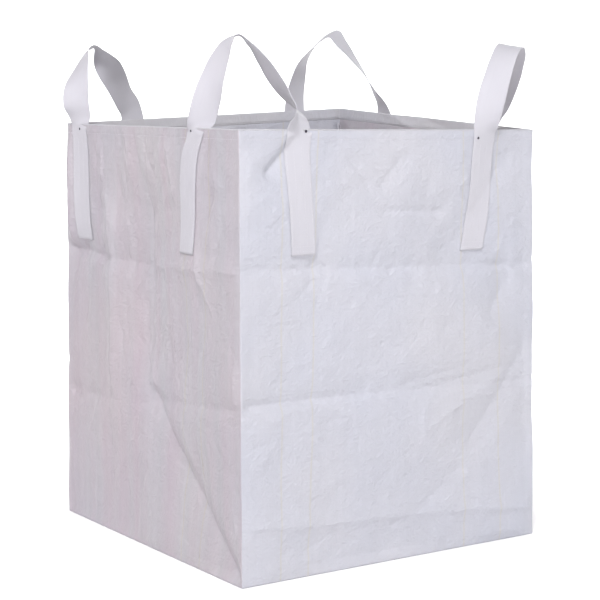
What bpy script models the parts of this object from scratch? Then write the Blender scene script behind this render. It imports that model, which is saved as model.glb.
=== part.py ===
"""Open-top four-loop bulk bag (FIBC): four walls and a base of woven fabric, and four corner lifting loops.

The bag stands on its base, with its mouth up. X and Y run along its walls and the front wall faces -Y.
Each lifting loop is one webbing strap. Its two ends, the legs, are sewn to the two walls that meet at a corner,
and its free part stands over that corner and tips about the line that joins its two legs.
Lengths are in metres.
"""

import math

import bmesh
import bpy
from mathutils import Vector

# The bag
BAG_WIDTH = 0.900  # along X, over the wall fabric
BAG_DEPTH = 0.900  # along Y, over the wall fabric
BAG_HEIGHT = 1.100  # floor to rim
FABRIC_THICKNESS = 0.0012
SEWING_GAP = 0.0003  # left between two pieces that are sewn together

# The turned-over top edge, and the seam allowances that stand inside the corners and round the base
HEM_DEPTH = 0.030
HEM_THREAD_DROP = 0.024  # rim to the row of stitches that holds the hem down
SEAM_WIDTH = 0.022
SEAM_END_GAP = 0.012  # from a corner seam's end to the hem, and to the base seams
SEAM_THREAD_INSET = 0.008  # from a seam's free edge to its stitches

# The webbing
STRAP_WIDTH = 0.070
STRAP_THICKNESS = 0.0025
LEG_LENGTH = 0.310  # rim to the lower end of a sewn leg
LEG_INSET = 0.180  # bag corner to a leg's centre line
CLOSE_LEG_INSET = 0.100  # the same for the one leg that is sewn close to its corner
NECK_RISE = 0.045  # rim to the line about which a loop tips
TWIST_START = 0.002  # rim to the start of the neck's twist
LOOP_RISE = 0.235  # rim to the top of a standing loop

# Where the webbing folds, it thins towards the fold line
FOLD_THICKNESS = 0.0012
FOLD_TAPER = 0.005
FOLD_GAP_BELOW = 0.0020
FOLD_GAP_ABOVE = 0.0003

# Sewing thread and tacks
THREAD_RADIUS = 0.0006
LEG_ROW_SPACING = 0.018
LEG_ROWS = 4
LEG_ROW_TOP_DROP = 0.034  # rim to the top of the stitch rows
LEG_ROW_END_MARGIN = 0.012  # leg's lower end to the stitch rows
STITCH_LENGTH = 0.022
STITCH_LIFT = 0.0005
TACK_RADIUS = 0.0033
TACK_THICKNESS = 0.0012
TACK_DROP = 0.012  # rim to a tack's centre
TACK_EDGE_MARGIN = 0.016  # from the strap edge that faces away from the bag corner

# Rounding of shapes
NECK_STEPS = 12
LIMB_STEPS = 22

HALF_WIDTH = BAG_WIDTH / 2
HALF_DEPTH = BAG_DEPTH / 2
STRAP_OFFSET = SEWING_GAP + STRAP_THICKNESS / 2  # wall fabric to the middle of a strap
HINGE_HEIGHT = BAG_HEIGHT + NECK_RISE
INNER_WIDTH = HALF_WIDTH - FABRIC_THICKNESS
INNER_DEPTH = HALF_DEPTH - FABRIC_THICKNESS
UP = Vector((0, 0, 1))

# name: (outward direction, half size across the wall, half size along it)
WALLS = {
    "front": (Vector((0, -1, 0)), HALF_DEPTH, HALF_WIDTH),
    "back": (Vector((0, 1, 0)), HALF_DEPTH, HALF_WIDTH),
    "left": (Vector((-1, 0, 0)), HALF_WIDTH, HALF_DEPTH),
    "right": (Vector((1, 0, 0)), HALF_WIDTH, HALF_DEPTH),
}
# The two walls that meet at each corner
CORNERS = (("front", "left"), ("front", "right"), ("back", "left"), ("back", "right"))
CLOSE_LEG = ("left", "back")  # the wall that it is on, and the wall that it is near


def clear_scene():
    for obj in list(bpy.data.objects):
        bpy.data.objects.remove(obj, do_unlink=True)


def new_collection(name):
    collection = bpy.data.collections.new(name)
    bpy.context.scene.collection.children.link(collection)
    return collection


def material(name, color, roughness):
    mat = bpy.data.materials.new(name)
    mat.use_nodes = True
    mat.diffuse_color = (*color, 1)
    shader = mat.node_tree.nodes["Principled BSDF"]
    shader.inputs["Base Color"].default_value = (*color, 1)
    shader.inputs["Roughness"].default_value = roughness
    shader.inputs["Metallic"].default_value = 0
    return mat


def add_object(name, data, kind, origin=Vector(), parent=None):
    """Links an object, gives it a material of its own, and hangs it on a parent."""
    obj = bpy.data.objects.new(name, data)
    BAG.objects.link(obj)
    color, roughness = LOOKS[kind]
    data.materials.append(material(name, color, roughness))
    if parent is not None:
        obj.parent = parent
        obj.location = origin - parent.location
    else:
        obj.location = origin
    return obj


def solid(name, points, faces, kind, origin=Vector(), parent=None):
    """A closed mesh from world points, with its faces turned outwards."""
    mesh = bpy.data.meshes.new(name)
    mesh.from_pydata([point - origin for point in points], [], faces)
    edit = bmesh.new()
    edit.from_mesh(mesh)
    bmesh.ops.recalc_face_normals(edit, faces=edit.faces)
    edit.to_mesh(mesh)
    edit.free()
    return add_object(name, mesh, kind, origin, parent)


def band(name, stations, kind, origin=Vector(), parent=None):
    """A flat strip swept through stations: (centre, half of its width, half of its thickness), all as vectors."""
    points = []
    faces = []
    for centre, across, thick in stations:
        points += [centre - across - thick, centre + across - thick, centre + across + thick, centre - across + thick]
    # Both wide faces are cut along the same diagonal, so that a twisted strip keeps its thickness.
    for start in range(0, len(points) - 4, 4):
        for low, high in ((0, 1), (1, 2), (3, 2), (0, 3)):
            faces.append((start + low, start + high, start + 4 + high))
            faces.append((start + low, start + 4 + high, start + 4 + low))
    last = len(points) - 4
    faces.append((3, 2, 1, 0))
    faces.append((last, last + 1, last + 2, last + 3))
    return solid(name, points, faces, kind, origin, parent)


def plate(name, centre, along, across, thick, kind):
    """A flat rectangular piece: centre, and half of its length, width and thickness as vectors."""
    return band(name, [(centre - along, across, thick), (centre + along, across, thick)], kind, centre)


def thread(name, points, kind="thread", closed=False):
    """One sewing thread through world points."""
    curve = bpy.data.curves.new(name, "CURVE")
    curve.dimensions = "3D"
    curve.bevel_depth = THREAD_RADIUS
    curve.bevel_resolution = 0
    curve.use_fill_caps = not closed
    spline = curve.splines.new("POLY")
    spline.points.add(len(points) - 1)
    spline.use_cyclic_u = closed
    for target, point in zip(spline.points, points):
        target.co = (*point, 1)
    return add_object(name, curve, kind)


def stitched(corners, lift, pitch=STITCH_LENGTH):
    """Points along straight runs between corners, each second one lifted off the fabric as a stitch is."""
    points = [corners[0]]
    for start, end in zip(corners, corners[1:]):
        steps = max(2, 2 * round((end - start).length / pitch / 2))
        for step in range(1, steps + 1):
            raised = lift if step % 2 else Vector()
            points.append(start.lerp(end, step / steps) + raised)
    return points


def smooth(share):
    share = min(1, max(0, share))
    return share * share * (3 - 2 * share)


def wall_along(wall):
    """The direction along a wall, towards +X or +Y."""
    outward = WALLS[wall][0]
    return Vector((abs(outward.y), abs(outward.x), 0))


def make_walls():
    for wall, (outward, reach, half_length) in WALLS.items():
        if wall in ("left", "right"):
            # The side walls end against the front and back walls.
            half_length -= FABRIC_THICKNESS + SEWING_GAP
        low = FABRIC_THICKNESS + SEWING_GAP
        centre = outward * (reach - FABRIC_THICKNESS / 2) + UP * (BAG_HEIGHT + low) / 2
        plate(
            f"{wall}_panel",
            centre,
            UP * (BAG_HEIGHT - low) / 2,
            wall_along(wall) * half_length,
            outward * FABRIC_THICKNESS / 2,
            "fabric",
        )


def make_base():
    plate(
        "base_panel",
        UP * FABRIC_THICKNESS / 2,
        Vector((HALF_WIDTH, 0, 0)),
        Vector((0, HALF_DEPTH, 0)),
        UP * FABRIC_THICKNESS / 2,
        "fabric",
    )


def make_hems():
    """The top edge of each wall, turned over to the inside, and the one row of stitches that goes round it."""
    inset = FABRIC_THICKNESS + SEWING_GAP + FABRIC_THICKNESS / 2
    for wall, (outward, reach, half_length) in WALLS.items():
        end = half_length - FABRIC_THICKNESS - SEWING_GAP
        if wall in ("left", "right"):
            end -= FABRIC_THICKNESS + SEWING_GAP
        centre = outward * (reach - inset) + UP * (BAG_HEIGHT - HEM_DEPTH / 2)
        plate(
            f"{wall}_hem",
            centre,
            UP * HEM_DEPTH / 2,
            wall_along(wall) * end,
            outward * FABRIC_THICKNESS / 2,
            "hem",
        )
    depth = 2 * (FABRIC_THICKNESS + SEWING_GAP) + THREAD_RADIUS
    x = HALF_WIDTH - depth - STITCH_LIFT
    y = HALF_DEPTH - depth - STITCH_LIFT
    z = BAG_HEIGHT - HEM_THREAD_DROP
    ring = [Vector((-x, -y, z)), Vector((x, -y, z)), Vector((x, y, z)), Vector((-x, y, z)), Vector((-x, -y, z))]
    thread("hem_stitches", stitched(ring, Vector(), 0.1)[:-1], closed=True)


def make_seam(name, start, end, inward, side):
    """A seam allowance from start to end: a double layer that stands off the seam line towards inward."""
    half = FABRIC_THICKNESS
    # The outer end stays clear of both sheets, which meet it at 45 degrees.
    near = half + SEWING_GAP * math.sqrt(2)
    centre = inward * (near + SEAM_WIDTH / 2)
    along = (end - start) / 2
    plate(f"{name}_seam", (start + end) / 2 + centre, along, inward * SEAM_WIDTH / 2, side * half, "seam")
    row = inward * (near + SEAM_WIDTH - SEAM_THREAD_INSET) + side * (half + SEWING_GAP + THREAD_RADIUS)
    margin = along.normalized() * THREAD_RADIUS * 2
    ends = [start + margin + row, end - margin + row]
    thread(f"{name}_seam_stitches", stitched(ends, side * STITCH_LIFT, 0.06))


def make_seams():
    diagonal = near_end = SEAM_WIDTH + 4 * FABRIC_THICKNESS
    for wall_y, wall_x in CORNERS:
        outward_y = WALLS[wall_y][0]
        outward_x = WALLS[wall_x][0]
        corner = outward_y * INNER_DEPTH + outward_x * INNER_WIDTH
        low = FABRIC_THICKNESS + diagonal + SEAM_END_GAP
        high = BAG_HEIGHT - HEM_DEPTH - SEAM_END_GAP
        inward = -(outward_x + outward_y).normalized()
        side = (outward_x - outward_y).normalized()
        make_seam(f"{wall_y}_{wall_x}_corner", corner + UP * low, corner + UP * high, inward, side)
    for wall, (outward, reach, half_length) in WALLS.items():
        along = wall_along(wall)
        end = half_length - FABRIC_THICKNESS - near_end
        edge = outward * (reach - FABRIC_THICKNESS) + UP * FABRIC_THICKNESS
        inward = (UP - outward).normalized()
        side = (UP + outward).normalized()
        make_seam(f"{wall}_base", edge - along * end, edge + along * end, inward, side)


def leg_frame(wall, other):
    """A leg's centre at the rim, the wall's outward direction, and the direction along the wall to the corner."""
    outward, reach, _ = WALLS[wall]
    toward_corner, half_length, _ = WALLS[other]
    inset = CLOSE_LEG_INSET if (wall, other) == CLOSE_LEG else LEG_INSET
    centre = outward * (reach + STRAP_OFFSET) + toward_corner * (half_length - inset) + UP * BAG_HEIGHT
    return centre, outward, toward_corner


def make_leg(wall, other):
    """A sewn leg and its neck: the strap rises past the rim and turns to lie along the line that it folds on."""
    centre, outward, toward_corner = leg_frame(wall, other)
    # The fold line runs to the loop's other foot, and crosses the corner inside the bag's walls.
    fold_line = (leg_frame(other, wall)[0] - centre).normalized()
    full_turn = math.atan2(-fold_line.dot(outward), fold_line.dot(toward_corner))
    half_width = STRAP_WIDTH / 2
    half_thick = STRAP_THICKNESS / 2
    stations = [(centre - UP * LEG_LENGTH, toward_corner * half_width, outward * half_thick)]
    twist_end = NECK_RISE - FOLD_GAP_BELOW - FOLD_TAPER
    for step in range(NECK_STEPS + 1):
        share = step / NECK_STEPS
        height = TWIST_START + (twist_end - TWIST_START) * share
        turn = full_turn * smooth(share)
        across = toward_corner * math.cos(turn) - outward * math.sin(turn)
        thick = outward * math.cos(turn) + toward_corner * math.sin(turn)
        stations.append((centre + UP * height, across * half_width, thick * half_thick))
    top = centre + UP * (NECK_RISE - FOLD_GAP_BELOW)
    stations.append((top, across * half_width, thick * FOLD_THICKNESS / 2))
    band(f"{wall}_leg_{other}", stations, "webbing", centre)


def make_leg_stitches(wall, other):
    """Lengthwise rows that sew a leg to its wall, run as one thread down and up the leg."""
    centre, outward, toward_corner = leg_frame(wall, other)
    surface = outward * (STRAP_THICKNESS / 2 + SEWING_GAP + THREAD_RADIUS)
    top = -UP * LEG_ROW_TOP_DROP
    bottom = -UP * (LEG_LENGTH - LEG_ROW_END_MARGIN)
    corners = []
    for row in range(LEG_ROWS):
        aside = toward_corner * LEG_ROW_SPACING * (row - (LEG_ROWS - 1) / 2)
        ends = (bottom, top) if row % 2 == 0 else (top, bottom)
        corners += [centre + surface + aside + end for end in ends]
    thread(f"{wall}_leg_{other}_stitches", stitched(corners, outward * STITCH_LIFT, 2 * STITCH_LENGTH))


def make_tack(wall, other):
    centre, outward, toward_corner = leg_frame(wall, other)
    aside = -(STRAP_WIDTH / 2 - TACK_EDGE_MARGIN)
    depth = STRAP_THICKNESS / 2 + SEWING_GAP + TACK_THICKNESS / 2
    origin = centre + toward_corner * aside - UP * TACK_DROP + outward * depth
    mesh = bpy.data.meshes.new(f"{wall}_tack_{other}")
    edit = bmesh.new()
    bmesh.ops.create_cone(
        edit,
        cap_ends=True,
        segments=16,
        radius1=TACK_RADIUS,
        radius2=TACK_RADIUS * 0.8,
        depth=TACK_THICKNESS,
    )
    edit.to_mesh(mesh)
    edit.free()
    tack = add_object(f"{wall}_tack_{other}", mesh, "tack", origin)
    tack.rotation_mode = "QUATERNION"
    tack.rotation_quaternion = outward.to_track_quat("Z", "Y")


def make_loop(wall_y, wall_x):
    """The free part of a strap: up from one neck, over the bag's corner and down to the other neck."""
    foot_y, _, _ = leg_frame(wall_y, wall_x)
    foot_x, _, _ = leg_frame(wall_x, wall_y)
    hinge = (foot_y + foot_x) / 2
    hinge.z = HINGE_HEIGHT
    span = (foot_x - foot_y).length / 2
    line = (foot_x - foot_y).normalized()
    outward = line.cross(UP)
    if outward.dot(hinge) < 0:
        outward = -outward
    rise = LOOP_RISE - NECK_RISE - STRAP_THICKNESS / 2 - FOLD_TAPER
    half_width = STRAP_WIDTH / 2
    half_thick = STRAP_THICKNESS / 2

    start = hinge - line * span + UP * FOLD_GAP_ABOVE
    stations = [(start, line * half_width, outward * FOLD_THICKNESS / 2)]
    for step in range(2 * LIMB_STEPS + 1):
        angle = math.pi * step / (2 * LIMB_STEPS)
        centre = hinge - line * span * math.cos(angle) + UP * (FOLD_TAPER + rise * math.sin(angle))
        heading = (line * span * math.sin(angle) + UP * rise * math.cos(angle)).normalized()
        inside = outward.cross(heading)
        if inside.dot(line * math.cos(angle) - UP * math.sin(angle)) < 0:
            inside = -inside
        # The strap lies along the fold line at its feet and turns a quarter turn to cross the crown squarely.
        turn = math.radians(90) * smooth(1 - abs(angle - math.pi / 2) / (math.pi / 2))
        across = inside * math.cos(turn) + outward * math.sin(turn)
        thick = outward * math.cos(turn) - inside * math.sin(turn)
        stations.append((centre, across * half_width, thick * half_thick))
    end = hinge + line * span + UP * FOLD_GAP_ABOVE
    stations.append((end, -line * half_width, outward * FOLD_THICKNESS / 2))

    pivot = bpy.data.objects.new(f"{wall_y}_{wall_x}_loop_pivot", None)
    pivot.empty_display_size = 0.05
    pivot.location = hinge
    BAG.objects.link(pivot)
    band(f"{wall_y}_{wall_x}_loop", stations, "webbing", hinge, pivot)


LOOKS = {
    "fabric": ((0.68, 0.67, 0.74), 0.55),
    "hem": ((0.70, 0.69, 0.76), 0.55),
    "seam": ((0.64, 0.63, 0.68), 0.6),
    "webbing": ((0.76, 0.75, 0.82), 0.6),
    "thread": ((0.80, 0.79, 0.83), 0.7),
    "tack": ((0.10, 0.09, 0.11), 0.6),
}

clear_scene()
BAG = new_collection("bulk_bag")
make_walls()
make_base()
make_hems()
make_seams()
for first, second in CORNERS:
    for wall, other in ((first, second), (second, first)):
        make_leg(wall, other)
        make_leg_stitches(wall, other)
        make_tack(wall, other)
    make_loop(first, second)
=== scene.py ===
"""Looks of the open-top bulk bag: creased woven walls, sewn webbing straps, stitches and tacks.

Lengths are in metres. On a wall, s runs along it from its start corner and z runs up from the floor.
"Relief" is how far the cloth stands out from the flat wall of the CAD model.
"""

import math

import bpy
import numpy as np
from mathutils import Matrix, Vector


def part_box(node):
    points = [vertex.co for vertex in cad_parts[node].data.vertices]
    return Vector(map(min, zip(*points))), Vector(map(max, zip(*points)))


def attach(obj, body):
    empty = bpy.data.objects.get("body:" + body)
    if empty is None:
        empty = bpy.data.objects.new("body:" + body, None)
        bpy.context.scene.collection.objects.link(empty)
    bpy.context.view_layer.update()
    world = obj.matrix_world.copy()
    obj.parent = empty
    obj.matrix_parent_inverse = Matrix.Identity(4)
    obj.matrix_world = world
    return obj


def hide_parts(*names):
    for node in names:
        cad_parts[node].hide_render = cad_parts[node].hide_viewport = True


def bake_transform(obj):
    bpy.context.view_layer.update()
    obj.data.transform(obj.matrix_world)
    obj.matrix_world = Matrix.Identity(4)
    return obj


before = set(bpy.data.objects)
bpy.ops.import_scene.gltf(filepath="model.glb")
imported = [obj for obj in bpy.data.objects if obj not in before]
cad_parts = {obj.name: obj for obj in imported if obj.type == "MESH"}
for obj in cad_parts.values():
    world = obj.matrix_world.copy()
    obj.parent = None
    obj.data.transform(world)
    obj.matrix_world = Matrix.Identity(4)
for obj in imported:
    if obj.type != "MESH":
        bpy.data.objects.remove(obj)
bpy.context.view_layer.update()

# ---------------------------------------------------------------- sizes

HALF_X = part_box("right_panel")[1].x
HALF_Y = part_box("back_panel")[1].y
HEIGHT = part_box("front_panel")[1].z
HEM_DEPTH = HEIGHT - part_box("front_hem")[0].z
SEAM_WIDTH = 0.022
CLOTH = 0.0008  # thickness of the woven fabric
HEM_CLOTH = 0.0005
EDGE_RADIUS = 0.0045  # of the bag's vertical edges and of its bottom edges
EDGE_FADE = 0.035  # a wall's own relief fades out over this, next to a vertical edge
GRID = 0.005  # spacing of a wall's mesh
EDGE_STEPS = np.array([0, 0.3, 0.6, 1.0])  # places of a wall mesh's points in a rounded edge
HALF_CORNER = math.pi / 4  # how far each of two neighbours turns in the edge they share
MAP_STEP = 0.004  # spacing of a wall's relief map
CREASE_ROUND = 0.0015  # how far from its line a crease is rounded
FOLD_GAIN = 1.75  # how much deeper than listed the large folds are
WRINKLE_GAIN = 1.45  # the same for the small wrinkles

STRAP_WIDTH = 0.071
STRAP_THICKNESS = 0.0022
STRAP_LIFT = 0.0005  # wall to the underside of a sewn leg
STRAP_STEP = 0.006
SEWN_DROP = 0.014  # a strap starts to leave the wall this far below the rim
FREE_RISE = 0.003  # and has left it this far above the rim

LEG_ROWS = (-0.42, -0.15, 0.15, 0.42)  # a leg's lengthwise stitch rows, as shares of its width
LEG_ROW_MARGIN = 0.01  # a leg's lower end to its stitch rows
LEG_ROW_DROP = 0.034  # rim to the top of the stitch rows
END_ROW_GAP = 0.012  # between the two rows across a leg's lower end
HEM_ROW_RISE = 0.006  # hem's lower edge to its stitches
SEAM_ROW = 0.62  # a seam's stitches, as a share of its width
STITCH_PITCH = 0.0085
STITCH_LENGTH = 0.0064
THREAD_RADIUS = 0.00045
STITCH_STEP = 0.006  # spacing of the points that a row of stitches follows
STITCH_SIDES = 6
TACK_RADIUS = 0.0034
TACK_RISE = 0.0011

# wall: (start corner as signs of x and y, direction of s, outward direction)
WALLS = {
    "front": ((-1, -1), (1, 0), (0, -1)),
    "left": ((-1, -1), (0, 1), (-1, 0)),
    "back": ((-1, 1), (1, 0), (0, 1)),
    "right": ((1, -1), (0, 1), (1, 0)),
}
# How far each corner of the bag stands from the CAD box's corner, at the floor and at the rim
FOOT_SHIFT = {
    (-1, -1): (-0.005, -0.008, 0),
    (1, -1): (0.008, -0.008, 0),
    (-1, 1): (-0.013, 0.01, 0),
    (1, 1): (0, 0, 0),
}
RIM_SHIFT = {
    (-1, -1): (-0.002, -0.006, 0.007),
    (1, -1): (-0.003, 0.001, -0.023),
    (-1, 1): (0.001, 0.001, -0.015),
    (1, 1): (0.004, -0.002, 0.002),
}


def smoothstep(low, high, value):
    t = np.clip((value - low) / (high - low), 0, 1)
    return t * t * (3 - 2 * t)


def wall_length(wall):
    return 2 * (HALF_X if WALLS[wall][1][0] else HALF_Y)


# ---------------------------------------------------------------- relief of the cloth


def crease_section(off, above, below):
    """1 on a crease's line, and less away from it, over `above` on one side and `below` on the other."""
    reach = np.where(off > 0, above, below)
    return np.exp(-(np.sqrt(off**2 + CREASE_ROUND**2) - CREASE_ROUND) / reach)


def fold(s, z, start, end, depth, above, below, fade=0.22):
    """A crease from start to end, each (s, z). Depth is positive for a valley and negative for a ridge.
    Where it runs up, `above` is its left side and `below` its right. It fades in and out at its ends."""
    (s0, z0), (s1, z1) = start, end
    length = math.hypot(s1 - s0, z1 - z0)
    us, uz = (s1 - s0) / length, (z1 - z0) / length
    run = ((s - s0) * us + (z - z0) * uz) / length
    off = (z - z0) * us - (s - s0) * uz
    ends = smoothstep(0, fade, run) * smoothstep(0, fade, 1 - run)
    return -depth * crease_section(off, above, below) * ends


def chain(s, z, points, depth, above, below):
    """A long crease, such as a fold from the bag's storage. Its points are (s, z, share of the depth)."""
    heights = np.interp(s, [p[0] for p in points], [p[1] for p in points])
    strength = np.interp(s, [p[0] for p in points], [p[2] for p in points])
    return -depth * strength * crease_section(z - heights, above, below)


def wrinkles(rng, s, z, count, length, reach, depth, lean, spread, low=0.0, high=HEIGHT):
    """Many short creases at random places. Length, reach and depth are ranges.
    Lean is their mean angle from level, in degrees, and spread is how much it varies."""
    total = np.zeros_like(s)
    for _ in range(count):
        centre = rng.uniform((0, low), (s.max(), high))
        angle = math.radians(lean + spread * rng.normal())
        half = rng.uniform(*length) / 2
        step = np.array((math.cos(angle), math.sin(angle))) * half
        sides = rng.uniform(*reach, 2)
        deep = rng.uniform(*depth) * rng.choice((-1, 1))
        margin = half + 4 * sides.max()
        columns = slice(*np.searchsorted(s[0], (centre[0] - margin, centre[0] + margin)))
        rows = slice(*np.searchsorted(z[:, 0], (centre[1] - margin, centre[1] + margin)))
        window = (rows, columns)
        ends = (centre - step, centre + step)
        total[window] += fold(s[window], z[window], *ends, deep, *sides, fade=0.4)
    return total


def swell(rng, s, z, size, depth):
    """Slow, smooth waves of the cloth."""
    total = np.zeros_like(s)
    for _ in range(7):
        angle, phase = rng.uniform(0, 2 * math.pi, 2)
        rate = 2 * math.pi / (size * rng.uniform(0.7, 1.5))
        total += np.sin((s * math.cos(angle) + z * math.sin(angle)) * rate + phase)
    return total * depth / 3


# What each wall's relief is made of. Its chains are (points, depth, above, below), its folds are (start, end,
# depth, above, below, and fade if it isn't the usual one), and its wrinkles are the arguments of wrinkles().
FRONT_RELIEF = {
    "seed": 11,
    "swell": (0.5, 0.0022),
    "chains": [
        ([(0, 0.771, 0.9), (0.3, 0.758, 0.8), (0.6, 0.752, 1), (0.9, 0.738, 0.9)], 0.0056, 0.036, 0.013),
        ([(0, 0.44, 1.3), (0.3, 0.442, 1.1), (0.45, 0.44, 0.5), (0.9, 0.426, 0.6)], 0.0054, 0.024, 0.012),
        ([(0, 0.15, 0.6), (0.18, 0.127, 0.7), (0.61, 0.108, 0.8), (0.9, 0.079, 1.5)], -0.0046, 0.035, 0.014),
    ],
    "folds": [
        ((0.43, 0.447), (0.72, 0.492), 0.0026, 0.016, 0.022),
        ((0.45, 0.425), (0.84, 0.478), 0.0028, 0.018, 0.02),
        ((0.395, 0.937), (0.3, 1.056), 0.0034, 0.014, 0.026, 0.3),
        ((0.395, 0.937), (0.49, 1.05), 0.0026, 0.022, 0.014, 0.3),
        ((0.39, 0.901), (0.625, 0.889), 0.003, 0.014, 0.005),
        ((0.19, 1.112), (0.065, 0.982), 0.008, 0.034, 0.012, 0.15),
        ((0.56, 0.72), (0.88, 1.11), 0.006, 0.1, 0.075),
        ((0.66, 0.24), (0.92, 0.58), 0.0062, 0.045, 0.09),
        ((0.5, 0.31), (0.83, 0.47), -0.004, 0.05, 0.04),
        ((0.48, 0.09), (0.7, 0.25), 0.003, 0.03, 0.03),
        ((0.48, 0.735), (0.59, 0.69), 0.002, 0.01, 0.014),
        ((0.74, 0.6), (0.84, 0.74), 0.003, 0.03, 0.02),
    ],
    "wrinkles": [
        (240, (0.04, 0.15), (0.006, 0.018), (0.0003, 0.0013), 25, 40, 0.72, 1.08),
        (260, (0.04, 0.18), (0.006, 0.02), (0.0003, 0.0013), 40, 40, 0.02, 0.78),
        (40, (0.15, 0.4), (0.02, 0.05), (0.001, 0.0026), 60, 30),
        (1500, (0.012, 0.045), (0.005, 0.009), (0.0002, 0.00055), 30, 50),
    ],
}
LEFT_RELIEF = {
    "seed": 23,
    "swell": (0.4, 0.0022),
    "chains": [
        ([(0, 0.762, -0.7), (0.44, 0.745, -0.6), (0.49, 0.74, 0.7), (0.66, 0.742, 1.2), (0.9, 0.764, 1.6)],
         0.0064, 0.038, 0.018),
        ([(0, 0.431, 0.9), (0.4, 0.395, 0.9), (0.55, 0.37, 0.2), (0.67, 0.361, 0.8), (0.9, 0.358, 1.2)],
         0.0046, 0.028, 0.018),
    ],
    "folds": [
        ((0.466, 0.34), (0.472, 1.06), 0.0185, 0.12, 0.17, 0.3),
        ((-0.03, -0.03), (0.474, 0.44), 0.011, 0.034, 0.08, 0.06),
        ((0.64, 0.38), (0.66, 0.95), -0.009, 0.09, 0.04),
        ((0.866, 0.74), (0.862, 1.16), -0.011, 0.03, 0.08, 0.12),
        ((0.697, 0.945), (0.7, 1.062), -0.004, 0.006, 0.012),
        ((0.596, 1.035), (0.612, 1.11), -0.0045, 0.01, 0.006, 0.15),
        ((0.54, 1.02), (0.64, 1.09), 0.0035, 0.02, 0.02),
        ((0.31, 0.9), (0.345, 1.085), -0.003, 0.012, 0.008),
        ((0.12, 0.64), (0.2, 0.745), -0.003, 0.016, 0.012),
    ],
    "wrinkles": [
        (170, (0.08, 0.26), (0.007, 0.02), (0.0006, 0.0027), 90, 13, 0.72, 1.1),
        (200, (0.1, 0.34), (0.006, 0.022), (0.0005, 0.0019), 92, 12, 0.02, 0.78),
        (160, (0.05, 0.16), (0.006, 0.02), (0.0003, 0.0011), 45, 40),
        (1100, (0.012, 0.05), (0.005, 0.009), (0.0002, 0.0005), 70, 45),
    ],
}
BACK_RELIEF = {
    "seed": 37,
    "swell": (0.5, 0.0025),
    "chains": [
        ([(0, 0.763, 1), (0.4, 0.748, 0.7), (0.9, 0.757, 1)], 0.004, 0.034, 0.018),
        ([(0, 0.402, 0.9), (0.5, 0.418, 0.5), (0.9, 0.409, 1.1)], 0.0034, 0.026, 0.016),
        ([(0, 0.118, 1), (0.5, 0.101, 0.5), (0.9, 0.128, 0.8)], -0.003, 0.03, 0.02),
    ],
    "folds": [
        ((0.1, 0.54), (0.38, 0.96), 0.008, 0.08, 0.05),
        ((0.62, 0.18), (0.42, 0.64), 0.007, 0.06, 0.06),
        ((0.64, 1.06), (0.52, 0.85), 0.003, 0.024, 0.02),
    ],
    "wrinkles": [
        (400, (0.05, 0.2), (0.006, 0.022), (0.0003, 0.0013), 30, 45),
        (60, (0.12, 0.4), (0.01, 0.04), (0.0008, 0.0024), 85, 15),
        (1300, (0.012, 0.045), (0.005, 0.009), (0.0002, 0.00055), 30, 50),
    ],
}
RIGHT_RELIEF = {
    "seed": 41,
    "swell": (0.45, 0.0025),
    "chains": [
        ([(0, 0.738, 0.9), (0.5, 0.751, 0.7), (0.9, 0.757, 1)], 0.0042, 0.036, 0.018),
        ([(0, 0.426, 0.8), (0.4, 0.41, 0.8), (0.9, 0.409, 1)], 0.0032, 0.026, 0.016),
    ],
    "folds": [
        ((0.43, 0.3), (0.45, 0.98), 0.011, 0.09, 0.09, 0.15),
        ((0.72, 1.125), (0.4, 1.03), 0.008, 0.03, 0.014),
        ((0.56, 1.11), (0.26, 1.06), -0.006, 0.02, 0.024),
        ((0.78, 0.12), (0.6, 0.39), 0.006, 0.06, 0.04),
    ],
    "wrinkles": [
        (260, (0.08, 0.3), (0.006, 0.018), (0.0004, 0.0015), 90, 10),
        (240, (0.05, 0.18), (0.006, 0.022), (0.0003, 0.0012), 40, 40),
        (1300, (0.012, 0.045), (0.005, 0.009), (0.0002, 0.00055), 50, 50),
    ],
}
RELIEF = {"front": FRONT_RELIEF, "left": LEFT_RELIEF, "back": BACK_RELIEF, "right": RIGHT_RELIEF}


def under_leg(wall, s, z):
    """1 where a sewn leg covers the wall and keeps it smooth, 0 elsewhere."""
    cover = np.zeros_like(s)
    for spec in STRAPS.values():
        for side, line, _ in (spec["first"], spec["second"]):
            if side == wall:
                middle = np.interp(z, [p[1] for p in line], [p[0] for p in line])
                across = 1 - smoothstep(STRAP_WIDTH / 2, STRAP_WIDTH / 2 + 0.01, np.abs(s - middle))
                cover = np.maximum(cover, across * smoothstep(line[0][1] - 0.012, line[0][1], z))
    return cover


relief_maps = {}


def relief_map(wall):
    """The wall's own relief on a regular grid, worked out once."""
    if wall not in relief_maps:
        parts = RELIEF[wall]
        rng = np.random.default_rng(parts["seed"])
        sides = (np.arange(0, side + MAP_STEP, MAP_STEP) for side in (wall_length(wall), HEIGHT))
        s, z = np.meshgrid(*sides)
        deep = swell(rng, s, z, *parts["swell"])
        for crease in parts["chains"]:
            deep += chain(s, z, *crease)
        for crease in parts["folds"]:
            deep += fold(s, z, *crease)
        small = sum(wrinkles(rng, s, z, *group) for group in parts["wrinkles"])
        smoothed = 1 - 0.9 * under_leg(wall, s, z)
        relief_maps[wall] = deep * FOLD_GAIN + small * WRINKLE_GAIN * smoothed
    return relief_maps[wall]


def own_relief(wall, s, z):
    """The relief map read between its points."""
    heights = relief_map(wall)
    column = np.clip(s / MAP_STEP, 0, heights.shape[1] - 1.001)
    row = np.clip(z / MAP_STEP, 0, heights.shape[0] - 1.001)
    c, r = column.astype(int), row.astype(int)
    fc, fr = column - c, row - r
    low = heights[r, c] * (1 - fc) + heights[r, c + 1] * fc
    high = heights[r + 1, c] * (1 - fc) + heights[r + 1, c + 1] * fc
    return low * (1 - fr) + high * fr


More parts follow.
